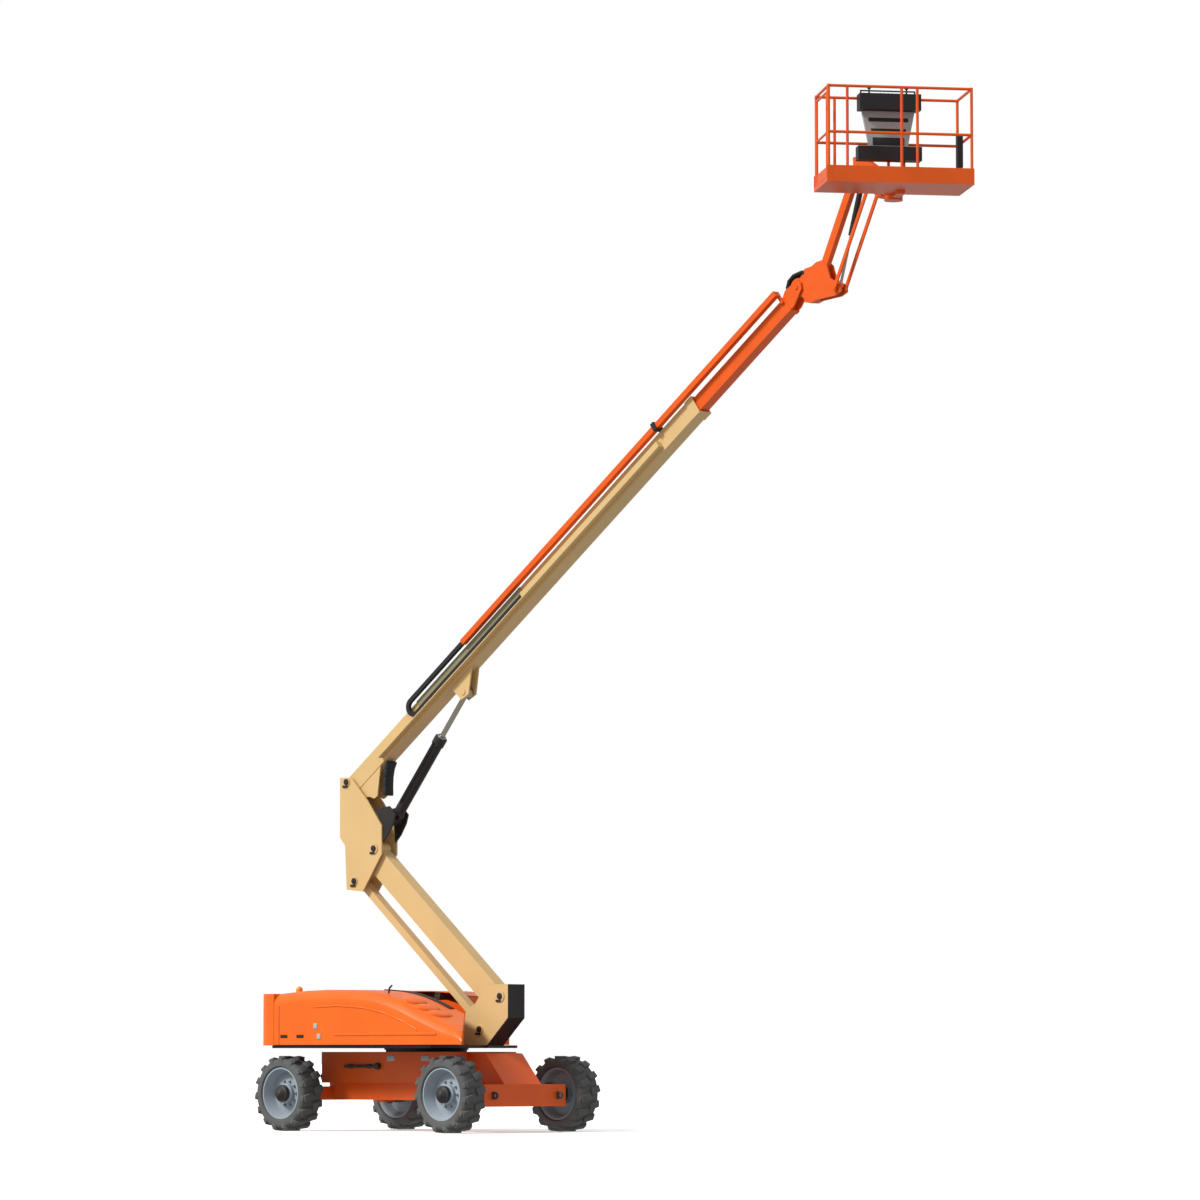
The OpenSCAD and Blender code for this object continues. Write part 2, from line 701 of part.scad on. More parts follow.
// The jib's cylinder stands at a fixed angle under the arm
cyl_t = [1190, -135];
cyl_foot = jib_e - jib_j;
foot_local = [cyl_foot[0] * cos(jib_elev) + cyl_foot[1] * sin(jib_elev), -cyl_foot[0] * sin(jib_elev) + cyl_foot[1] * cos(jib_elev)];
cyl_dir = atan2(cyl_t[1] - foot_local[1], cyl_t[0] - foot_local[0]);
cyl_len = norm(cyl_t - foot_local);
cyl_r = 36;
cyl_rod_r = 18;
cyl_barrel = 690;
module jib_cyl_frame() {
    jib_frame() translate([foot_local[0], 0, foot_local[1]]) rotate([0, -cyl_dir, 0]) children();
}
module jib_barrel() {
    x0 = cyl_len - cyl_barrel;
    color(black) difference() {
        jib_cyl_frame() difference() {
            translate([x0, 0, 0]) rotate([0, 90, 0]) cylinder(r = cyl_r, h = cyl_barrel);
            translate([x0 - eps, 0, 0]) rotate([0, 90, 0]) cylinder(r = cyl_rod_r + pin_clear, h = cyl_barrel - 40);
        }
        jib_frame() box(1000, 1300, -60, 60, -110, 100);
    }
}
module jib_rod() {
    color(grey) jib_cyl_frame() union() {
        rotate([0, 90, 0]) cylinder(r = cyl_rod_r, h = cyl_len - cyl_barrel + 70);
        pin([0, 0], 34, -32, 32);
    }
}
module jib_links() {
    color(orange) both_sides() translate([jib_e[0], -link_y, jib_e[1]]) rotate([0, -jib_elev, 0]) difference() {
        round_bar(jib_len, 44, link_bar, 30);
        for (x = [0, jib_len]) translate([x, 0, 0]) rotate([90, 0, 0])
            cylinder(r = 18 + pin_clear, h = 60, center = true);
    }
}

module jib_head() {
    cheek_in = 46;
    cheek_out = 72;
    function at(x, z) = jib_j1 + [x, z];
    color(orange) union() {
        both_sides() {
            plate([at(-60, 55), at(60, 60), at(410, -190), at(410, -485), at(330, -500), at(200, -340), at(-55, -50)],
                -cheek_out, -cheek_in);
            pin(jib_e1, 18, -link_y - link_bar / 2 - 4, -cheek_in);
        }
        pin(jib_j1, jib_pin_r, -cheek_out, cheek_out);
        plate([at(330, -160), at(410, -190), at(410, -485), at(330, -500)], -cheek_out, cheek_out);
        // Fixed body of the rotator
        translate([rot_x, 0, rot_z0 + 70]) cylinder(r = rot_r, h = rot_z1 - rot_z0 - 140);
        box(jib_j1[0] + 400, rot_x, -60, 60, rot_z0 + 75, rot_z1 - 75);
    }
}

module rotator() {
    bar_y = 50;
    top = rot_z1 - plat_z;
    color(orange) platform_frame() union() {
        translate([0, 0, rot_z0 - plat_z]) cylinder(r = rot_r - 10, h = 70 - pin_clear);
        translate([0, 0, top - 70 + pin_clear]) cylinder(r = rot_r - 10, h = 70);
        box(0, plat_x0 + 300, -bar_y, bar_y, -40, 0);
        box(0, plat_x0 - 8, -bar_y, bar_y, top - 60, top - 4);
        box(plat_x0 - 28, plat_x0 - 8, -bar_y, bar_y, -40, top - 4);
    }
}

module platform_floor() {
    color(orange) platform_frame() box(plat_x0, plat_x0 + plat_w, plat_y0, plat_y1, 0, floor_t);
}

module toe_boards() {
    t = 6;
    color(orange) platform_frame() difference() {
        box(plat_x0, plat_x0 + plat_w, plat_y0, plat_y1, floor_t, toe_h);
        box(plat_x0 + t, plat_x0 + plat_w - t, plat_y0 - eps, plat_y1 - t, floor_t - eps, toe_h + eps);
    }
}

module platform_rails() {
    r = rail_r;
    x0 = plat_x0 + r + 8;
    x1 = plat_x0 + plat_w - r - 8;
    y0 = plat_y0 + r + 8;
    y1 = plat_y1 - r - 8;
    z1 = plat_h - r;
    post_at = [0.13, 0.51, 0.62];
    color(orange) platform_frame() union() {
        for (x = [x0, x1]) {
            for (z = [mid_z, z1]) tube_along([x, y0, z], [x, y1, z], r);
            for (f = post_at) tube_along([x, y0 + f * (y1 - y0), floor_t], [x, y0 + f * (y1 - y0), z1], r);
            for (y = [y0, y1]) tube_along([x, y, floor_t], [x, y, plat_h], r);
        }
        for (z = [mid_z, z1]) tube_along([x0, y1, z], [x1, y1, z], r);
        tube_along([x0, y0, z1], [x1, y0, z1], r);
        // Post that the gate hangs on, and arms that hold the console's stand
        tube_along([gate_x, y0, floor_t], [gate_x, y0, z1], r - 3);
        for (s = [-1, 1]) box(x0, plat_x0 + 60, plat_off + s * 180 - 15, plat_off + s * 180 + 15, mid_z - 15, mid_z + 15);
    }
}

module platform_gate() {
    r = rail_r - 3;
    x0 = plat_x0 + 3 * rail_r + 22;
    x1 = gate_x - 50;
    y0 = plat_y0 + rail_r + 8;
    z0 = floor_t + 12;
    z1 = plat_h - 3 * rail_r - 30;
    color(orange) platform_frame() union() {
        for (x = [x0, x1]) tube_along([x, y0, z0], [x, y0, z1], r);
        for (z = [z0 + r, mid_z, z1]) tube_along([x0, y0, z], [x1, y0, z], r);
        box(x0 - r, x1 + r, y0 - 3, y0 + 3, z0, toe_h);
        // Hinge knuckles round the corner post
        for (z = [360, 900]) difference() {
            union() {
                box(x1, gate_x, y0 - 9, y0 + 9, z, z + 50);
                translate([gate_x, y0, z]) cylinder(r = rail_r + 7, h = 50);
            }
            translate([gate_x, y0, z - eps]) cylinder(r = rail_r - 3 + pin_clear, h = 52);
        }
    }
}

module console() {
    c = plat_off;
    color(black) platform_frame() plate_yz([[c - 385, plat_h - 190], [c - 385, plat_h + 10], [c + 385, plat_h + 10], [c + 385, plat_h - 190]],
        plat_x0 + 60, plat_x0 + 260);
    module plate_yz(points, x0, x1) {
        translate([x0, 0, 0]) rotate([90, 0, 90]) linear_extrude(x1 - x0) polygon(points);
    }
}

module console_stand() {
    c = plat_off;
    color(grey) platform_frame() translate([plat_x0 + 60, 0, 0]) rotate([90, 0, 90]) linear_extrude(60)
        polygon([[c - 330, plat_h - 190], [c + 330, plat_h - 190], [c + 240, 560], [c - 240, 560]]);
}

module lower_box() {
    c = plat_off;
    color(black) platform_frame() box(plat_x0 + 52, plat_x0 + 222, c - 400, c + 400, 390, 560);
}

module side_box() {
    color(black) platform_frame() box(plat_x0 + 320, plat_x0 + 420, plat_y1 - 8 - 2 * rail_r - 70, plat_y1 - 8 - 2 * rail_r,
        mid_z - 330, mid_z + 90);
}

module controls() {
    console();
    lower_box();
    side_box();
}

chassis_frame();
drive_axle();
steer_axle();
tie_down_lugs();
slew_ring();
knuckle(-1);  // knuckle_right
knuckle(1);  // knuckle_left
tie_rod();
tyre(axle_x, -1);  // tyre_drive_right
tyre(axle_x, 1);  // tyre_drive_left
tyre(-axle_x, -1);  // tyre_steer_right
tyre(-axle_x, 1);  // tyre_steer_left
rim(axle_x, -1);  // rim_drive_right
rim(axle_x, 1);  // rim_drive_left
rim(-axle_x, -1);  // rim_steer_right
rim(-axle_x, 1);  // rim_steer_left
deck();
counterweight();
well_walls();
riser();
riser_cover();
engine();
tank();
beacon();
hood(-1);  // hood_right
hood(1);  // hood_left
tower_boom();
tower_link();
upright();
cylinder_bracket();
boom_base();
boom_guides();
carrier_tray();
carrier_loop();
lift_rod();
lift_barrel();
boom_fly();
push_tube();
nose_knuckle();
jib_arm();
jib_barrel();
jib_rod();
jib_links();
jib_head();
rotator();
platform_floor();
toe_boards();
platform_rails();
platform_gate();
controls();
console_stand();
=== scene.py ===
# %% [markdown]
# # Dressing an articulating boom lift
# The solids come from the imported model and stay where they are. This lesson gives them
# their finishes, and adds the small pieces that a maker bolts, clips or hangs on afterwards.

# %% Load the frame
import bpy
import json
import math
from mathutils import Matrix, Vector


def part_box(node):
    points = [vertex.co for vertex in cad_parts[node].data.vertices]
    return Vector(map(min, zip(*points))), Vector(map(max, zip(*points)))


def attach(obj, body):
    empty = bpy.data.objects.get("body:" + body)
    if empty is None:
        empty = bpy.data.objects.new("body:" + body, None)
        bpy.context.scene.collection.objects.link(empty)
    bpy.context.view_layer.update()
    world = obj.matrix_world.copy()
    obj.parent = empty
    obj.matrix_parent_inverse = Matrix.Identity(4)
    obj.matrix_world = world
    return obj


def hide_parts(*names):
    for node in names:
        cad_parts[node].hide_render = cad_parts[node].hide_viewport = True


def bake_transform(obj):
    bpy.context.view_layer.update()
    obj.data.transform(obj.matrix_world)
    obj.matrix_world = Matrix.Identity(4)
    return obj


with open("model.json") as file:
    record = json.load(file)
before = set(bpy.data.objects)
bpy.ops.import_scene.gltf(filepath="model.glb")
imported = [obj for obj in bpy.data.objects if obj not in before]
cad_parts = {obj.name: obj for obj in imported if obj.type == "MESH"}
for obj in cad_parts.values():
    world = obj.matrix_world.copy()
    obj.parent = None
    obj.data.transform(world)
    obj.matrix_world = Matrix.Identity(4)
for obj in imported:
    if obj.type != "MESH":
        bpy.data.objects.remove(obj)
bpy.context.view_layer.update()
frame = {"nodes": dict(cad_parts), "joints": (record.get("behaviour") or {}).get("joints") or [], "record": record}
nodes = frame["nodes"]
joints = {joint["name"]: joint for joint in frame["joints"]}
slots = {part["node"]: part["material_slot"] for part in frame["record"]["subparts"]}
print("nodes:", len(nodes), "joints:", len(joints))

# %% [markdown]
# ## Where things are
# A joint's own place is the best ruler on a machine: every arm starts at a pin. So the
# pins are read from the frame once, and the arms' directions follow from them.


# %% Pins and the frames of the arms
def pin_at(joint):
    """Place of a joint's axis, as a vector."""
    return Vector(joints[joint]["pos_m"])


tower_foot = pin_at("tower_lift")
tower_top = pin_at("upright_level")
link_foot = pin_at("tower_link_pivot")
boom_pin = pin_at("boom_lift")


def arm_frame(joint, start):
    """An arm's own frame: X along a sliding joint's axis, from a pin."""
    axis = Vector(joints[joint]["axis"])
    tilt = math.atan2(axis.z, axis.x)
    print(joint, "tilted", round(math.degrees(tilt), 1), "degrees")
    return Matrix.Translation(start) @ Matrix.Rotation(-tilt, 4, "Y")


boom_place = arm_frame("fly_extend", boom_pin)
cylinder_place = arm_frame("lift_cylinder", pin_at("lift_rod_pivot"))
PLATFORM_TURN = math.radians(-37.7)
swivel = pin_at("platform_swivel")
platform_foot = Vector((swivel.x, swivel.y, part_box("platform_floor")[0][2]))
platform_place = Matrix.Translation(platform_foot) @ Matrix.Rotation(PLATFORM_TURN, 4, "Z")

# %% [markdown]
# ## Working by hand, in code
# Operators act on the selection, so each helper clears it first. A piece is modelled at the
# origin, then its place is applied to the mesh, so its object stays unturned and unscaled.


# %% Selecting and placing
def start_clean():
    """Leaves object mode with nothing selected."""
    if bpy.context.object and bpy.context.object.mode != "OBJECT":
        bpy.ops.object.mode_set(mode="OBJECT")
    bpy.ops.object.select_all(action="DESELECT")


def make_active(piece):
    """Selects one piece alone."""
    start_clean()
    piece.select_set(True)
    bpy.context.view_layer.objects.active = piece


def pick(piece, kind, wanted):
    """Selects the faces or edges that a test accepts and enters edit mode."""
    make_active(piece)
    bpy.ops.object.mode_set(mode="EDIT")
    bpy.ops.mesh.select_mode(type=kind)
    bpy.ops.mesh.select_all(action="DESELECT")
    bpy.ops.object.mode_set(mode="OBJECT")
    for element in piece.data.polygons if kind == "FACE" else piece.data.edges:
        element.select = wanted(element)
    bpy.ops.object.mode_set(mode="EDIT")


def settle(piece, place=Matrix.Identity(4)):
    """Moves a finished piece to its place and applies that to its mesh."""
    make_active(piece)
    piece.matrix_world = place @ piece.matrix_world
    bpy.ops.object.transform_apply(location=True, rotation=True, scale=True)
    return piece


# %% Shapes with finished edges
EDGE_STEPS = 2
SMOOTH_BELOW = math.radians(40)


def round_edges(piece, width):
    """Bevels the piece's sharp edges and smooths its faces."""
    make_active(piece)
    bevel = piece.modifiers.new("edge", "BEVEL")
    bevel.width = width
    bevel.segments = EDGE_STEPS
    bevel.limit_method = "ANGLE"
    bpy.ops.object.modifier_apply(modifier=bevel.name)
    bpy.ops.object.shade_smooth_by_angle(angle=SMOOTH_BELOW)
    return piece


def block(name, low, high, edge=0.004):
    """A box between two corners with rounded edges."""
    start_clean()
    low, high = Vector(low), Vector(high)
    bpy.ops.mesh.primitive_cube_add(size=1, location=(low + high) / 2)
    piece = bpy.context.object
    piece.name = name
    piece.scale = high - low
    bpy.ops.object.transform_apply(location=True, rotation=True, scale=True)
    return round_edges(piece, edge)


def disc(name, radius, length, sides=32, edge=0.003):
    """A round bar along +Z from the origin, with rounded ends."""
    start_clean()
    middle = (0, 0, length / 2)
    bpy.ops.mesh.primitive_cylinder_add(vertices=sides, radius=radius, depth=length, location=middle)
    piece = bpy.context.object
    piece.name = name
    bpy.ops.object.transform_apply(location=True, rotation=True, scale=True)
    return round_edges(piece, edge)


def joined(name, pieces):
    """Joins several pieces into one mesh."""
    start_clean()
    for piece in pieces:
        piece.select_set(True)
    bpy.context.view_layer.objects.active = pieces[0]
    bpy.ops.object.join()
    pieces[0].name = name
    return pieces[0]


def copy_of(piece, place):
    """A copy with its own mesh, moved by a matrix."""
    make_active(piece)
    bpy.ops.object.duplicate()
    twin = bpy.context.object
    return settle(twin, place)


def pipe(name, points, radius, place=Matrix.Identity(4)):
    """A round pipe through points, with a ball at each bend."""
    pieces = []
    for first, second in zip(points, points[1:]):
        run = Vector(second) - Vector(first)
        bar = disc(name, radius, run.length, 16, radius * 0.1)
        aim = run.to_track_quat("Z", "Y").to_matrix().to_4x4()
        pieces.append(settle(bar, Matrix.Translation(first) @ aim))
    for point in points[1:-1]:
        start_clean()
        bpy.ops.mesh.primitive_uv_sphere_add(segments=16, ring_count=8, radius=radius, location=point)
        bpy.ops.object.shade_smooth()
        pieces.append(settle(bpy.context.object))
    return settle(joined(name, pieces), place)


# %% Fitting a piece to the machine
def fit_out(piece, body, material):
    """Gives a piece its material and its body."""
    piece.data.materials.clear()
    piece.data.materials.append(material)
    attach(piece, body)
    return piece


def along_y(place, side):
    """Turns a bar along +Z so that it points out of the given side, at a place."""
    return Matrix.Translation(place) @ Matrix.Rotation(math.radians(-90 * side), 4, "X")


# %% [markdown]
# ## Effects that several finishes share
# Site dust settles on every surface, paint mottles a little as it weathers, and moulded
# or cast skins are grainy. Each is a node group, built once and set for each finish.

# %% Node helpers
GROUP_SOCKETS = {"Color": "NodeSocketColor", "Value": "NodeSocketFloat"}


def new_group(name, inputs, outputs):
    """An empty shader group with named sockets; inputs are (name, kind, default)."""
    group = bpy.data.node_groups.new(name, "ShaderNodeTree")
    for label, kind, default in inputs:
        socket = group.interface.new_socket(name=label, in_out="INPUT", socket_type=GROUP_SOCKETS[kind])
        socket.default_value = default
    for label, kind in outputs:
        group.interface.new_socket(name=label, in_out="OUTPUT", socket_type=GROUP_SOCKETS[kind])
    start = group.nodes.new("NodeGroupInput")
    end = group.nodes.new("NodeGroupOutput")
    return group, start, end


def noise(tree, coords, scale, detail=4.0, roughness=0.55):
    """A noise texture on the given coordinates; scale may be a socket."""
    node = tree.nodes.new("ShaderNodeTexNoise")
    node.inputs["Detail"].default_value = detail
    node.inputs["Roughness"].default_value = roughness
    tree.links.new(coords, node.inputs["Vector"])
    if isinstance(scale, float):
        node.inputs["Scale"].default_value = scale
    else:
        tree.links.new(scale, node.inputs["Scale"])
    return node.outputs["Fac"]


def ramp(tree, value, low, high, to_low=0.0, to_high=1.0):
    """Maps a value from one range to another, smoothly and clamped."""
    node = tree.nodes.new("ShaderNodeMapRange")
    node.interpolation_type = "SMOOTHSTEP"
    node.inputs["From Min"].default_value = low
    node.inputs["From Max"].default_value = high
    node.inputs["To Min"].default_value = to_low
    node.inputs["To Max"].default_value = to_high
    tree.links.new(value, node.inputs["Value"])
    return node.outputs["Result"]


def arithmetic(tree, operation, first, second):
    """One Math node; each operand is a socket or a number."""
    node = tree.nodes.new("ShaderNodeMath")
    node.operation = operation
    for socket, operand in zip(node.inputs, (first, second)):
        if isinstance(operand, (int, float)):
            socket.default_value = operand
        else:
            tree.links.new(operand, socket)
    return node.outputs["Value"]


def blend_colours(tree, amount, first, second):
    """Mixes two colours by an amount; each is a socket or a colour."""
    node = tree.nodes.new("ShaderNodeMix")
    node.data_type = "RGBA"
    for key, operand in (("Factor", amount), ("A", first), ("B", second)):
        socket = next(s for s in node.inputs if s.name == key and s.enabled)
        if isinstance(operand, tuple):
            socket.default_value = operand
        else:
            tree.links.new(operand, socket)
    return next(s for s in node.outputs if s.enabled)


def object_coords(tree):
    """The piece's own coordinates, in metres."""
    return tree.nodes.new("ShaderNodeTexCoord").outputs["Object"]


# %% Weathering
def make_weathering():
    """Mottled colour: broad fading, fine speckle, and dust that gathers on ledges and low down."""
    group, start, end = new_group(
        "weathering",
        [("Color", "Color", (0.8, 0.8, 0.8, 1)), ("Fade", "Value", 0.08), ("Dust", "Value", 0.25),
         ("Dust Color", "Color", (0.45, 0.40, 0.33, 1)), ("Dust Height", "Value", 1.2)],
        [("Color", "Color"), ("Dust Mask", "Value")])
    coords = object_coords(group)
    broad = noise(group, coords, 1.7, 5.0)
    fine = noise(group, coords, 38.0, 6.0, 0.7)
    shift = arithmetic(group, "MULTIPLY", ramp(group, broad, 0.3, 0.7, -1.0, 1.0), start.outputs["Fade"])
    bright = group.nodes.new("ShaderNodeHueSaturation")
    group.links.new(start.outputs["Color"], bright.inputs["Color"])
    group.links.new(arithmetic(group, "ADD", shift, 1.0), bright.inputs["Value"])
    up = group.nodes.new("ShaderNodeSeparateXYZ")
    geometry = group.nodes.new("ShaderNodeNewGeometry")
    group.links.new(geometry.outputs["Normal"], up.inputs["Vector"])
    height = group.nodes.new("ShaderNodeSeparateXYZ")
    group.links.new(coords, height.inputs["Vector"])
    ledge = ramp(group, up.outputs["Z"], 0.3, 1.0, 0.0, 0.3)
    low = group.nodes.new("ShaderNodeMapRange")
    low.inputs["From Min"].default_value = 0.0
    group.links.new(start.outputs["Dust Height"], low.inputs["From Max"])
    low.inputs["To Min"].default_value = 1.0
    low.inputs["To Max"].default_value = 0.0
    group.links.new(height.outputs["Z"], low.inputs["Value"])
    settled = arithmetic(group, "ADD", arithmetic(group, "MULTIPLY", ledge, 0.5), low.outputs["Result"])
    patchy = arithmetic(group, "MULTIPLY", settled, ramp(group, fine, 0.2, 0.8, 0.7, 1.0))
    mask = arithmetic(group, "MULTIPLY", patchy, start.outputs["Dust"])
    clamped = arithmetic(group, "MINIMUM", mask, 0.85)
    dusty = blend_colours(group, clamped, bright.outputs["Color"], start.outputs["Dust Color"])
    group.links.new(dusty, end.inputs["Color"])
    group.links.new(clamped, end.inputs["Dust Mask"])
    return group


# %% Chips and skin
def make_chips():
    """Small worn spots and streaks, as a mask between 0 and 1."""
    group, start, end = new_group(
        "chips", [("Amount", "Value", 0.15), ("Scale", "Value", 14.0)], [("Mask", "Value")])
    coords = object_coords(group)
    spots = noise(group, coords, start.outputs["Scale"], 8.0, 0.75)
    where = noise(group, coords, 2.3, 3.0)
    worn = arithmetic(group, "MULTIPLY", ramp(group, spots, 0.62, 0.70), ramp(group, where, 0.52, 0.66))
    group.links.new(arithmetic(group, "MULTIPLY", worn, start.outputs["Amount"]), end.inputs["Mask"])
    return group


def make_skin():
    """Fine surface relief, as a height for a Bump node."""
    group, start, end = new_group(
        "skin", [("Scale", "Value", 220.0), ("Wave", "Value", 0.3)], [("Height", "Value")])
    coords = object_coords(group)
    grain = noise(group, coords, start.outputs["Scale"], 3.0)
    wave = noise(group, coords, 6.0, 2.0)
    swell = arithmetic(group, "MULTIPLY", wave, start.outputs["Wave"])
    group.links.new(arithmetic(group, "ADD", grain, swell), end.inputs["Height"])
    return group


WEATHERING = make_weathering()
CHIPS = make_chips()
SKIN = make_skin()
print("shared groups:", len(bpy.data.node_groups))

# %% [markdown]
# ## The finishes
# A finish is a base colour, how dusty and faded it is, what shows where it is chipped, and
# how rough its skin is. One function builds them all, so the machine looks like one machine.


def linear(colour):
    """A colour picked on a screen (0 to 255) as linear light."""
    parts = [channel / 255 for channel in colour]
    return tuple(p / 12.92 if p <= 0.04045 else ((p + 0.055) / 1.055) ** 2.4 for p in parts) + (1.0,)


def finish(name, colour, rough, fade=0.08, dust=0.25, chips=0.1, under=(60, 52, 48), metal=0.0,
           relief=0.0002, grain=220.0, coat=0.0, dust_height=1.2):
    """A weathered material with chips, dust and a fine skin."""
    material = bpy.data.materials.new(name)
    material.use_nodes = True
    tree = material.node_tree
    shader = tree.nodes["Principled BSDF"]
    weather = tree.nodes.new("ShaderNodeGroup")
    weather.node_tree = WEATHERING
    weather.inputs["Color"].default_value = linear(colour)
    weather.inputs["Fade"].default_value = fade
    weather.inputs["Dust"].default_value = dust
    weather.inputs["Dust Height"].default_value = dust_height
    worn = tree.nodes.new("ShaderNodeGroup")
    worn.node_tree = CHIPS
    worn.inputs["Amount"].default_value = chips
    base = blend_colours(tree, worn.outputs["Mask"], weather.outputs["Color"], linear(under))
    tree.links.new(base, shader.inputs["Base Color"])
    dull = arithmetic(tree, "MULTIPLY", weather.outputs["Dust Mask"], 0.5)
    rougher = arithmetic(tree, "ADD", arithmetic(tree, "ADD", dull, rough),
                         arithmetic(tree, "MULTIPLY", worn.outputs["Mask"], 0.2))
    tree.links.new(arithmetic(tree, "MINIMUM", rougher, 0.95), shader.inputs["Roughness"])
    shader.inputs["Metallic"].default_value = metal
    shader.inputs["Coat Weight"].default_value = coat
    shader.inputs["Coat Roughness"].default_value = 0.25
    shader.inputs["Specular IOR Level"].default_value = 0.3
    skin = tree.nodes.new("ShaderNodeGroup")
    skin.node_tree = SKIN
    skin.inputs["Scale"].default_value = grain
    bump = tree.nodes.new("ShaderNodeBump")
    bump.inputs["Distance"].default_value = relief
    bump.inputs["Strength"].default_value = 0.6
    tree.links.new(skin.outputs["Height"], bump.inputs["Height"])
    tree.links.new(bump.outputs["Normal"], shader.inputs["Normal"])
    return material


orange = finish("orange_finish", (226, 88, 10), 0.40, fade=0.06, dust=0.05, coat=0.08)
hood_orange = finish("hood_finish", (236, 102, 14), 0.36, fade=0.05, dust=0.03, coat=0.12)
cream = finish("cream_finish", (212, 178, 122), 0.42, fade=0.03, dust=0.08, chips=0.04,
               under=(150, 120, 80), coat=0.08)
black = finish("black_finish", (42, 38, 38), 0.45, fade=0.15, dust=0.2, chips=0.2,
               under=(95, 90, 86))
plastic = finish("moulded_black", (36, 35, 37), 0.55, fade=0.1, dust=0.15, chips=0.0,
                 relief=0.0006)
tread = finish("tyre_finish", (80, 82, 83), 0.85, fade=0.15, dust=0.10, chips=0.0,
               relief=0.0015, grain=90.0, dust_height=1.6)
rim_grey = finish("rim_finish", (148, 160, 170), 0.42, fade=0.1, dust=0.15, chips=0.25,
                  under=(96, 88, 80))
hub_dark = finish("hub_finish", (40, 38, 38), 0.5, fade=0.1, dust=0.08)
plate_grey = finish("plate_finish", (168, 172, 172), 0.4, fade=0.06, dust=0.2)
iron = finish("iron_finish", (78, 78, 80), 0.65, fade=0.15, dust=0.5)
chrome = finish("rod_finish", (168, 162, 146), 0.25, fade=0.03, dust=0.02, chips=0.0, metal=1.0)
steel = finish("bolt_finish", (150, 150, 148), 0.38, fade=0.1, dust=0.1, chips=0.0, metal=1.0)
channel = finish("channel_finish", (146, 140, 108), 0.55, fade=0.1, dust=0.1)
amber = finish("lens_finish", (240, 140, 30), 0.18, fade=0.03, dust=0.1, chips=0.0, coat=0.6)

FINISH_OF_SLOT = {"orange_paint": orange, "cream_paint": cream, "black_paint": black,
                  "black_plastic": plastic, "tyre_rubber": tread,
                  "rim_paint": rim_grey, "grey_paint": plate_grey, "engine_iron": iron,
                  "rod_chrome": chrome, "amber_lens": amber}
for node, piece in nodes.items():
    chosen = hood_orange if node.startswith(("hood", "counterweight")) else FINISH_OF_SLOT[slots[node]]
    piece.data.materials.clear()
    piece.data.materials.append(chosen)

# %% [markdown]
# ## Wheel hubs
# Each wheel hides a gearbox or bearing cap in its dish, ringed by nuts. One cap is turned
# from a cylinder by insetting and extruding its face; the nuts are six-sided bars, copied
# round a circle. The whole set is then copied to each wheel.

# %% Hub caps and wheel nuts
WHEELS = ("drive_right", "drive_left", "steer_right", "steer_left")
DISC_DEPTH = 0.150
NUT_CIRCLE = 0.165
NUTS = 10
NUT_RADIUS = 0.017
NUT_LENGTH = 0.03
NUT_SINK = 0.008
CAP_RADIUS = 0.112
CAP_LENGTH = 0.06
CAP_STAND = 0.062
CAP_STEPS = ((0.026, 0.03), (0.03, 0.012))


def side_of(wheel):
    """Which way a wheel's outer face looks along Y."""
    return 1 if wheel.endswith("left") else -1


def wheel_centre(wheel):
    """The middle of a wheel's axle, as a vector."""
    return pin_at("wheel_" + wheel + "_spin")


def hub_cap(name):
    """A stepped cap, pointing along +Z from the rim's disc."""
    cap = disc(name, CAP_RADIUS, CAP_LENGTH, 40, 0.008)
    pick(cap, "FACE", lambda face: face.normal.z > 0.99)
    for inset, rise in CAP_STEPS:
        bpy.ops.mesh.inset(thickness=inset)
        bpy.ops.mesh.extrude_region_move(TRANSFORM_OT_translate={"value": (0, 0, rise)})
    bpy.ops.object.mode_set(mode="OBJECT")
    return settle(cap, Matrix.Translation((0, 0, CAP_STAND)))


def nut_ring(name):
    """Nuts on a circle, as one mesh."""
    ring = []
    for index in range(NUTS):
        angle = math.tau * index / NUTS
        nut = disc(name, NUT_RADIUS, NUT_LENGTH, 6, 0.003)
        spot = (NUT_CIRCLE * math.cos(angle), NUT_CIRCLE * math.sin(angle), 0)
        ring.append(settle(nut, Matrix.Translation(spot)))
    return joined(name, ring)


for wheel in WHEELS:
    side = side_of(wheel)
    centre = wheel_centre(wheel)
    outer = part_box("tyre_" + wheel)[1 if side > 0 else 0][1]
    seat = Vector((centre.x, outer - side * DISC_DEPTH, centre.z))
    cap = settle(hub_cap("hub_cap_" + wheel + "_cap"), along_y(seat, side))
    fit_out(cap, "wheel_" + wheel, hub_dark)
    nut_seat = seat - Vector((0, side * NUT_SINK, 0))
    nuts = settle(nut_ring("wheel_nuts_" + wheel), along_y(nut_seat, side))
    fit_out(nuts, "wheel_" + wheel, steel)
print("wheel hubs done")

# %% [markdown]
# ## Tyres with lugs
# The carcass starts as an open tube. Its two rims are extruded and scaled inwards, step by
# step, to the shoulder, the side wall and the bead. One lug is a block with a foot on the
# shoulder; it is leaned, copied round both halves with half a step between them, and joined.

# %% Tyres
TREAD_RADIUS = 0.462
TREAD_HALF = 0.135
LUG_TOP = 0.4965
LUGS = 15
LUG_LEAN = math.radians(18)
WALL_STEPS = [(0.446, 0.166), (0.405, 0.178), (0.362, 0.176), (0.347, 0.150)]


def pick_rim(tube, side):
    """Selects the open rim at one end of a tube and enters edit mode."""
    points = tube.data.vertices
    end = max(point.co.z * side for point in points) - 0.001
    pick(tube, "EDGE", lambda edge: all(points[index].co.z * side > end for index in edge.vertices))


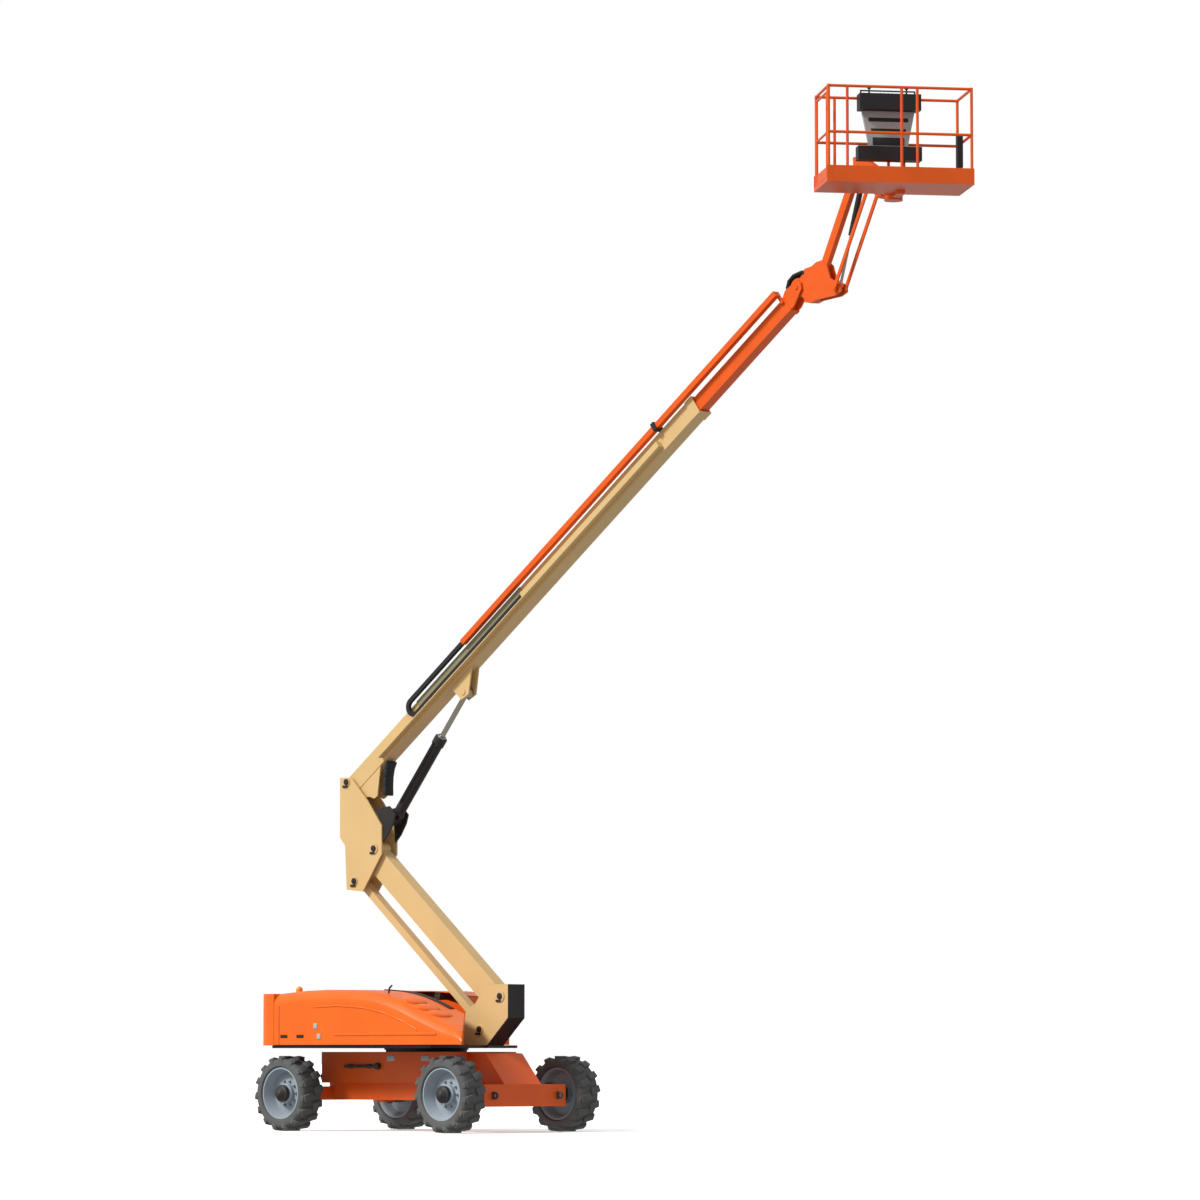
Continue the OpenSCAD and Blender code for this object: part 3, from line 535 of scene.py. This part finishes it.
def make_carcass():
    """The tyre without its lugs, along Z."""
    start_clean()
    bpy.ops.mesh.primitive_cylinder_add(vertices=72, radius=TREAD_RADIUS, depth=2 * TREAD_HALF,
                                        end_fill_type="NOTHING")
    tube = bpy.context.object
    for side in (1, -1):
        pick_rim(tube, side)
        radius, height = TREAD_RADIUS, TREAD_HALF
        for next_radius, next_height in WALL_STEPS:
            rise = (0, 0, (next_height - height) * side)
            bpy.ops.mesh.extrude_edges_move(TRANSFORM_OT_translate={"value": rise})
            share = next_radius / radius
            bpy.ops.transform.resize(value=(share, share, 1), center_override=(0, 0, 0))
            radius, height = next_radius, next_height
        bpy.ops.object.mode_set(mode="OBJECT")
    make_active(tube)
    bpy.ops.object.shade_smooth_by_angle(angle=math.radians(50))
    return tube


def make_lug(side):
    """One lug at the top of the wheel, on one half of the tread."""
    bar = block("lug", (-0.046, 0.445, 0.008), (0.046, LUG_TOP, 0.164), 0.006)
    foot = block("lug_foot", (-0.036, 0.400, 0.150), (0.036, 0.470, 0.177), 0.006)
    middle = Matrix.Translation((0, 0, 0.086))
    settle(bar, middle @ Matrix.Rotation(LUG_LEAN, 4, "Y") @ middle.inverted())
    settle(foot, Matrix.Translation((0.020, 0, 0)))
    lug = joined("lug", [bar, foot])
    if side < 0:
        settle(lug, Matrix.Rotation(math.pi, 4, "Y"))
    return lug


def make_tyre(name):
    """Carcass and lugs as one mesh."""
    pieces = [make_carcass()]
    for side in (1, -1):
        lug = make_lug(side)
        offset = 0.0 if side > 0 else 0.5
        for index in range(1, LUGS):
            pieces.append(copy_of(lug, Matrix.Rotation(math.tau * index / LUGS, 4, "Z")))
        pieces.append(lug)
        for piece in pieces[-LUGS:]:
            settle(piece, Matrix.Rotation(math.tau * offset / LUGS, 4, "Z"))
    return joined(name, pieces)


first_tyre = make_tyre("lugged_tyre")
for wheel in WHEELS:
    centre = wheel_centre(wheel)
    tyre = copy_of(first_tyre, along_y(centre, side_of(wheel)))
    low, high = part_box("tyre_" + wheel)
    shift = (low[1] + high[1]) / 2 - centre.y
    settle(tyre, Matrix.Translation((0, shift, 0)))
    tyre.name = "lugged_tyre_" + wheel
    fit_out(tyre, "wheel_" + wheel, tread)
    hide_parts("tyre_" + wheel)
bpy.data.objects.remove(first_tyre)
print("tyres done")

# %% [markdown]
# ## Hoods
# Each hood is cut back at the front, so that the tower's foot stands free: the right one at
# a slant, the left one square. A cut is a bisect of the hood's own mesh. The wall behind the
# cut is a slice of the hood's convex hull, dropped a little to sit under the skin.

# %% The hood's measures and the cutting tools
HOOD_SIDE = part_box("hood_right")[0][1]
HOOD_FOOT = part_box("hood_right")[0][2]
HOOD_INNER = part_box("hood_right")[1][1]
WALL_THICK = 0.005
WALL_DROP = 0.008


def bare_copy(node):
    """A copy of a solid's mesh, without its frame data."""
    twin = copy_of(nodes[node], Matrix.Identity(4))
    for key in list(twin.keys()):
        del twin[key]
    return twin


def cut_off(piece, point, normal):
    """Removes what lies beyond a plane."""
    make_active(piece)
    bpy.ops.object.mode_set(mode="EDIT")
    bpy.ops.mesh.select_all(action="SELECT")
    bpy.ops.mesh.bisect(plane_co=point, plane_no=normal, clear_outer=True, use_fill=True)
    bpy.ops.object.mode_set(mode="OBJECT")


def cut_hood(node, point, normal):
    """A hood with its front cut at a plane and closed by a wall."""
    skin = bare_copy(node)
    cut_off(skin, point, normal)
    wall = bare_copy(node)
    make_active(wall)
    bpy.ops.object.mode_set(mode="EDIT")
    bpy.ops.mesh.select_all(action="SELECT")
    bpy.ops.mesh.convex_hull()
    bpy.ops.object.mode_set(mode="OBJECT")
    cut_off(wall, point, normal)
    cut_off(wall, point - normal * WALL_THICK, -normal)
    settle(wall, Matrix.Translation((0, 0, -WALL_DROP)))
    cut_off(wall, Vector((0, 0, HOOD_FOOT)), Vector((0, 0, -1)))
    return joined(node + "_cut", [skin, wall])


# %% The two hoods
SLANT = math.radians(43.7)
RIGHT_CUT = Vector((1.111, HOOD_INNER, 1.2))
LEFT_CUT = Vector((0.36, 0.4, 1.2))
for node, point, normal in (("hood_right", RIGHT_CUT, Vector((math.cos(SLANT), math.sin(SLANT), 0))),
                            ("hood_left", LEFT_CUT, Vector((1, 0, 0)))):
    hood = cut_hood(node, point, normal)
    make_active(hood)
    bpy.ops.object.shade_smooth_by_angle(angle=math.radians(35))
    fit_out(hood, node + "_body", hood_orange)
    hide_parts(node)
print("hoods cut")

# %% [markdown]
# ## Deck plate
# The deck under the hoods has its left front corner cut off, beside the tower's foot. It could
# be drawn anew, but one bisect of a copy keeps every other edge of the solid.

# %% Deck plate
DECK_CUT = Vector((1.70, 0, 1.1))
deck_plate = bare_copy("deck")
cut_off(deck_plate, DECK_CUT, Vector((1, 1, 0)).normalized())
fit_out(deck_plate, "turntable", black)
deck_plate.name = "deck_plate"
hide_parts("deck")
print("deck plate: faces", len(deck_plate.data.polygons))

# %% [markdown]
# ## Hood hinges
# A hood swings up on three hinges along its inner edge. A hinge is a barrel on the axis, one
# leaf down the well wall and one up to the hood's skin. The second leaf moves with the hood,
# so barrels and fixed leaves are one piece and the moving leaves are another.

# %% Hood hinges
HINGES_AT = (-1.40, -0.80, -0.20)
LEAF_FOOT = 1.70
LEAF_TOP = 1.855
for side, hood_node in ((-1, "hood_right"), (1, "hood_left")):
    axis_at = pin_at(hood_node + "_open")
    fixed, moving = [], []
    for x in HINGES_AT:
        turn = Matrix.Translation((x - 0.06, axis_at.y, axis_at.z)) @ Matrix.Rotation(math.pi / 2, 4, "Y")
        fixed.append(settle(disc("hinge_barrel", 0.011, 0.12, 20, 0.002), turn))
        wall = sorted((axis_at.y - side * 0.011, axis_at.y - side * 0.004))
        fixed.append(block("hinge_leaf", (x - 0.05, wall[0], LEAF_FOOT),
                           (x + 0.05, wall[1], axis_at.z), 0.001))
        skin_leaf = sorted((axis_at.y + side * 0.004, axis_at.y + side * 0.010))
        moving.append(block("hinge_leaf", (x - 0.05, skin_leaf[0], axis_at.z),
                            (x + 0.05, skin_leaf[1], LEAF_TOP), 0.001))
    fit_out(joined(hood_node + "_hinges", fixed), "turntable", black)
    fit_out(joined(hood_node + "_hinge_leaves", moving), hood_node + "_body", black)
print("hinges on each hood:", len(HINGES_AT))

# %% [markdown]
# ## Strip and bulges on the right hood
# A dark strip follows the hood's top line, and three low bulges rise from its front slope. The
# strip is a row of flat bars. The bulges could be sculpted in the skin; a ball that is squashed,
# tilted and half sunk gives the same rounded rise with no change to the hood's own mesh.

# %% Strip and bulges
HOOD_LINE = [(-0.30, 1.865), (0.07, 1.842), (0.29, 1.808), (0.50, 1.760), (0.72, 1.692), (0.93, 1.610)]
BULGES = [(0.66, 1.712), (0.90, 1.622), (1.13, 1.540)]
BULGE_INSIDE = 0.33
BULGE_TILT = math.radians(19)


def slope_bar(name, first, second, y_low, y_high, thick):
    """A flat bar laid along the line between two points (x, z)."""
    start = Vector((first[0], 0, first[1]))
    run = Vector((second[0] - first[0], 0, second[1] - first[1]))
    bar = block(name, (-0.004, y_low, -0.004), (run.length + 0.004, y_high, thick), 0.003)
    return settle(bar, Matrix.Translation(start) @ Matrix.Rotation(-math.atan2(run.z, run.x), 4, "Y"))


strips = [slope_bar("hood_strip", first, second, HOOD_INNER - 0.10, HOOD_INNER - 0.01, 0.012)
          for first, second in zip(HOOD_LINE, HOOD_LINE[1:])]
fit_out(joined("hood_strip", strips), "hood_right_body", plastic)
bulges = []
for x, z in BULGES:
    start_clean()
    bpy.ops.mesh.primitive_uv_sphere_add(segments=32, ring_count=16, radius=1)
    bulge = bpy.context.object
    bulge.scale = (0.13, 0.20, 0.035)
    bulge.rotation_euler = (0, BULGE_TILT, 0)
    settle(bulge, Matrix.Translation((x, HOOD_SIDE + BULGE_INSIDE, z)))
    bpy.ops.object.shade_smooth()
    bulges.append(bulge)
fit_out(joined("hood_bulges", bulges), "hood_right_body", hood_orange)
print("strip bars:", len(strips), "bulges:", len(bulges))

# %% [markdown]
# ## Fittings on the hood's side
# The flat side has a ledge, a seam, two vents and two latches. Each is a block with rounded
# edges that stands a few millimetres proud of the skin. Vents and seam share a finish, so they
# are joined into one piece.

# %% Ledge, seam, vents and latches
ledge = block("hood_ledge", (-0.521, HOOD_SIDE - 0.010, 1.262), (1.40, HOOD_SIDE + 0.004, 1.300), 0.006)
fit_out(ledge, "hood_right_body", hood_orange)
seam = block("hood_seam", (-1.585, HOOD_SIDE - 0.001, HOOD_FOOT), (-1.578, HOOD_SIDE + 0.002, 1.66), 0.0005)
vents = [block("vent", (x - 0.07, HOOD_SIDE - 0.003, 1.232), (x + 0.07, HOOD_SIDE + 0.003, 1.276), 0.004)
         for x in (-1.486, -1.172)]
fit_out(joined("hood_vents", vents + [seam]), "hood_right_body", plastic)
latches = [block("latch", (x - 0.035, HOOD_SIDE - 0.010, z - 0.035),
                 (x + 0.035, HOOD_SIDE + 0.004, z + 0.035), 0.006)
           for x, z in ((-0.873, 1.390), (-0.807, 1.253))]
fit_out(joined("hood_latches", latches), "hood_right_body", plate_grey)
print("vents:", len(vents), "latches:", len(latches))

# %% [markdown]
# ## Pins
# A pin ends in a cap with a keeper bar that stops it from turning. One end is made by a
# function and put on both sides of every pin in the riser and the upright. The pins' own
# places come from the joints, so the caps sit where the arms really turn.

# %% Pins and keepers
link_top = tower_top + (link_foot - tower_foot)


def pin_end(name, place, side):
    """A pin's cap and keeper on one side, as one mesh."""
    cap = settle(disc(name, 0.042, 0.016, 32, 0.004), along_y(place, side))
    keeper = block(name + "_keeper", (place.x - 0.075, place.y - 0.005, place.z - 0.075),
                   (place.x + 0.020, place.y + 0.005, place.z - 0.045), 0.002)
    return joined(name, [cap, keeper])


for owner, body, places in (("riser", "turntable", (tower_foot, link_foot)),
                            ("upright", "upright_body", (tower_top, link_top, boom_pin))):
    low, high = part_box(owner)
    ends = [pin_end(owner + "_pin", Vector((place.x, low[1] if side < 0 else high[1], place.z)), side)
            for place in places for side in (-1, 1)]
    fit_out(joined(owner + "_pins", ends), body, black)
    print(owner, "pin ends:", len(ends))

# %% [markdown]
# ## The boom's root and the lift cylinder
# A stiff guard curves down from under the boom's root, and the lift cylinder has a gland at
# the mouth of its barrel and a feed pipe along it. The guard is a row of flat bars, and a pipe
# is a row of round ones with a ball at each bend. Their points are written along the arm and
# across it, because an arm's own frame is easier to measure in than the machine's.

# %% Guard, gland and feed pipe
GUARD_LINE = [(0.72, -0.205), (0.63, -0.25), (0.54, -0.33), (0.46, -0.43), (0.39, -0.53)]
GUARD_HALF = 0.075
GUARD_THICK = 0.045
bars = [slope_bar("root_guard", first, second, -GUARD_HALF, GUARD_HALF, GUARD_THICK)
        for first, second in zip(GUARD_LINE, GUARD_LINE[1:])]
fit_out(settle(joined("root_guard", bars), boom_place), "boom", plastic)
GLAND_AT = 0.733
gland = settle(disc("gland", 0.062, 0.03, 40, 0.005), cylinder_place @ Matrix.Translation((GLAND_AT, 0, 0))
               @ Matrix.Rotation(math.pi / 2, 4, "Y"))
fit_out(gland, "lift_barrel_body", steel)
FEED_LINE = [(0.84, -0.098, 0), (1.80, -0.098, 0), (1.88, -0.06, 0)]
feed = pipe("feed_pipe", FEED_LINE, 0.012, cylinder_place)
fit_out(feed, "lift_barrel_body", black)
print("guard bars:", len(bars))

# %% [markdown]
# ## Hoses over the nose
# Three hoses arch from the fly over the nose's pin. They could ride on one of the two, but the
# nose tilts as the boom is raised. Here the three pipes are joined into one mesh with its place
# applied, and the piece is given to no body, so it follows neither the fly nor the nose, and does not bend.

# %% Nose hoses
ARCH = [(9.85, 0.040), (9.87, 0.110), (9.94, 0.160), (10.04, 0.165), (10.17, 0.110), (10.26, 0.020)]
HOSE_RADIUS = 0.022
hoses = [pipe("nose_hose", [(s, y, t) for s, t in ARCH], HOSE_RADIUS, boom_place) for y in (-0.05, 0.0, 0.05)]
nose_hoses = joined("nose_hoses", hoses)
nose_hoses.data.materials.clear()
nose_hoses.data.materials.append(plastic)
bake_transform(nose_hoses)
print("nose hoses: faces", len(nose_hoses.data.polygons))

# %% [markdown]
# ## The carrier's panel and the frame's side
# A long panel backs the cable carrier on the boom. The frame's side has a rod in two clips
# with a knob at its end, a plate across the tail and two bare tags. All are bars and blocks
# with rounded edges, and what is bolted together in one finish is joined into one piece.

# %% Panel, side rod and tags
panel = settle(block("carrier_panel", (1.66, -0.116, -0.068), (4.05, -0.1005, 0.060), 0.002), boom_place)
fit_out(panel, "boom", channel)
FRAME_SIDE = -0.56
ROD_LEVEL = 0.86
ROD_SPAN = (-0.95, -0.35)
KNOB_AT = Vector((-0.33, FRAME_SIDE, ROD_LEVEL))
rod = pipe("side_rod", [(x, FRAME_SIDE - 0.03, ROD_LEVEL) for x in ROD_SPAN], 0.020)
knob = settle(disc("side_knob", 0.045, 0.06, 24, 0.008), along_y(KNOB_AT, -1))
clips = [block("rod_clip", (x - 0.03, FRAME_SIDE - 0.03, 0.83), (x + 0.03, FRAME_SIDE + 0.002, 0.89), 0.004)
         for x in (-0.85, -0.50)]
tail = block("tail_plate", (-1.50, -0.50, 0.87), (-1.428, 0.50, 1.04), 0.006)
fit_out(joined("side_rod", [rod, knob, tail] + clips), "chassis", black)
tags = [block("side_tag", (x - 0.07, FRAME_SIDE - 0.006, 0.93), (x + 0.07, FRAME_SIDE + 0.002, 1.00), 0.002)
        for x in (-0.10, 0.55)]
fit_out(joined("side_tags", tags), "chassis", plate_grey)
print("clips:", len(clips), "tags:", len(tags))

# %% [markdown]
# ## A crease and a lever on the right hood
# A pressed crease falls along the hood's side towards its front, and a small bent lever stands
# on its top. Both are pipes. The crease is sunk a little more than half into the skin, so that
# only a rounded ridge shows, which is simpler than pressing it into the hood's triangles.

# %% Crease and lever
CREASE = [(-0.92, 1.640), (-0.45, 1.655), (0.05, 1.625), (0.45, 1.550), (0.80, 1.440), (1.05, 1.330)]
CREASE_SINK = 0.004
LEVER_LINE = [(0.207, -0.90, 1.812), (0.225, -0.90, 1.890), (0.270, -0.90, 1.918)]
ridge = pipe("hood_crease", [(x, HOOD_SIDE + CREASE_SINK, z) for x, z in CREASE], 0.014)
fit_out(ridge, "hood_right_body", hood_orange)
lever = pipe("hood_lever", LEVER_LINE, 0.012)
fit_out(lever, "hood_right_body", black)
print("crease points:", len(CREASE))

# %% [markdown]
# ## The platform's controls
# The console carries two levers and a row of switches under a guard, and its stand has dark
# slots. They are measured in the platform's own frame, as if it faced forward, and turned with
# it at the end, so that no number here depends on how far the platform is turned.

# %% Console
CONSOLE_X = 0.159
CONSOLE_Y = -0.117
CONSOLE_TOP = 1.21
SINK = 0.002
SWITCHES = 5
levers = []
for y in (-0.25, 0.22):
    for name, radius, length, sides, edge, lift in (("lever", 0.011, 0.075, 16, 0.002, -SINK),
                                                    ("lever_knob", 0.026, 0.045, 24, 0.010, 0.070)):
        spot = (CONSOLE_X + 0.16, CONSOLE_Y + y, CONSOLE_TOP + lift)
        levers.append(settle(disc(name, radius, length, sides, edge), Matrix.Translation(spot)))
for step in range(SWITCHES):
    spot = (CONSOLE_X + 0.12, CONSOLE_Y - 0.10 + 0.05 * step, CONSOLE_TOP - SINK)
    levers.append(settle(disc("switch", 0.008, 0.03, 12, 0.002), Matrix.Translation(spot)))
GUARD_BENDS = [(-0.34, -0.01), (-0.34, 0.06), (0.34, 0.06), (0.34, -0.01)]
guard_points = [(CONSOLE_X + 0.08, CONSOLE_Y + y, CONSOLE_TOP + z) for y, z in GUARD_BENDS]
guard = pipe("console_guard", guard_points, 0.010)
fit_out(settle(joined("console_levers", levers + [guard]), platform_place), "platform", plastic)

# %% Slots in the console's stand
SLOTS = ((0.20, 0.585, 0.10), (0.22, 0.76, 0.035), (0.25, 0.88, 0.05))
slits = [block("stand_slot", (CONSOLE_X + 0.058, CONSOLE_Y - half, z),
               (CONSOLE_X + 0.122, CONSOLE_Y + half, z + tall), 0.002)
         for half, z, tall in SLOTS]
fit_out(settle(joined("stand_slots", slits), platform_place), "platform", plastic)
print("switches:", SWITCHES, "slots:", len(SLOTS))

# %% [markdown]
# ## The light and the camera
# A plain pale stage, one soft key from the upper left of the view and a dim sky. The world
# is white only where the camera looks at it, and darker below the horizon, so undersides stay dark.

# %% Floor
FLOOR_SIZE = 800.0
FLOOR_GLOW = 0.35
start_clean()
bpy.ops.mesh.primitive_plane_add(size=FLOOR_SIZE, location=(0, 0, 0))
floor = bpy.context.object
floor.name = "floor"
pale = bpy.data.materials.new("pale_floor")
pale.use_nodes = True
matt = pale.node_tree.nodes["Principled BSDF"]
matt.inputs["Base Color"].default_value = (0.92, 0.92, 0.92, 1)
matt.inputs["Roughness"].default_value = 0.9
matt.inputs["Emission Color"].default_value = (1, 1, 1, 1)
matt.inputs["Emission Strength"].default_value = FLOOR_GLOW
floor.data.materials.append(pale)
floor.visible_diffuse = False
floor.visible_glossy = False
print("floor:", FLOOR_SIZE, "m")

# %% World
SKY_LIGHT = 0.58
GROUND_LIGHT = 0.55
world = bpy.data.worlds.new("studio")
bpy.context.scene.world = world
world.use_nodes = True
sky = world.node_tree
glow = sky.nodes["Background"]
rays = sky.nodes.new("ShaderNodeLightPath")
seen = arithmetic(sky, "MAXIMUM", rays.outputs["Is Camera Ray"], rays.outputs["Is Transmission Ray"])
facing = sky.nodes.new("ShaderNodeSeparateXYZ")
sky.links.new(sky.nodes.new("ShaderNodeTexCoord").outputs["Generated"], facing.inputs["Vector"])
dome = ramp(sky, facing.outputs["Z"], -0.25, 0.15, GROUND_LIGHT, SKY_LIGHT)
level = arithmetic(sky, "MAXIMUM", seen, dome)
glow.inputs["Color"].default_value = (1, 1, 1, 1)
sky.links.new(level, glow.inputs["Strength"])
print("sky light:", SKY_LIGHT)

# %% Key lamp and camera
KEY_LIGHT = 3.1
KEY_FROM = Vector((-0.30, -0.80, 0.75))
start_clean()
bpy.ops.object.light_add(type="SUN", location=(-10, -20, 30))
key = bpy.context.object
key.name = "key_sun"
key.data.energy = KEY_LIGHT
key.data.angle = math.radians(12)
key.rotation_euler = KEY_FROM.to_track_quat("Z", "Y").to_euler()

CAMERA_AT = Vector((49.34, -48.29, 1.00))
CAMERA_TURN = math.atan2(0.7229, -0.6909)
CAMERA_PITCH = math.radians(5.03)
bpy.ops.object.camera_add(location=CAMERA_AT)
camera = bpy.context.object
camera.rotation_euler = (math.pi / 2 + CAMERA_PITCH, 0, CAMERA_TURN - math.pi / 2)
camera.data.lens = 155.3
camera.data.sensor_width = 36.0
camera.data.clip_end = 2000.0
bpy.context.scene.camera = camera
bpy.context.scene.view_settings.view_transform = "Standard"
print("camera at", [round(value, 2) for value in CAMERA_AT])
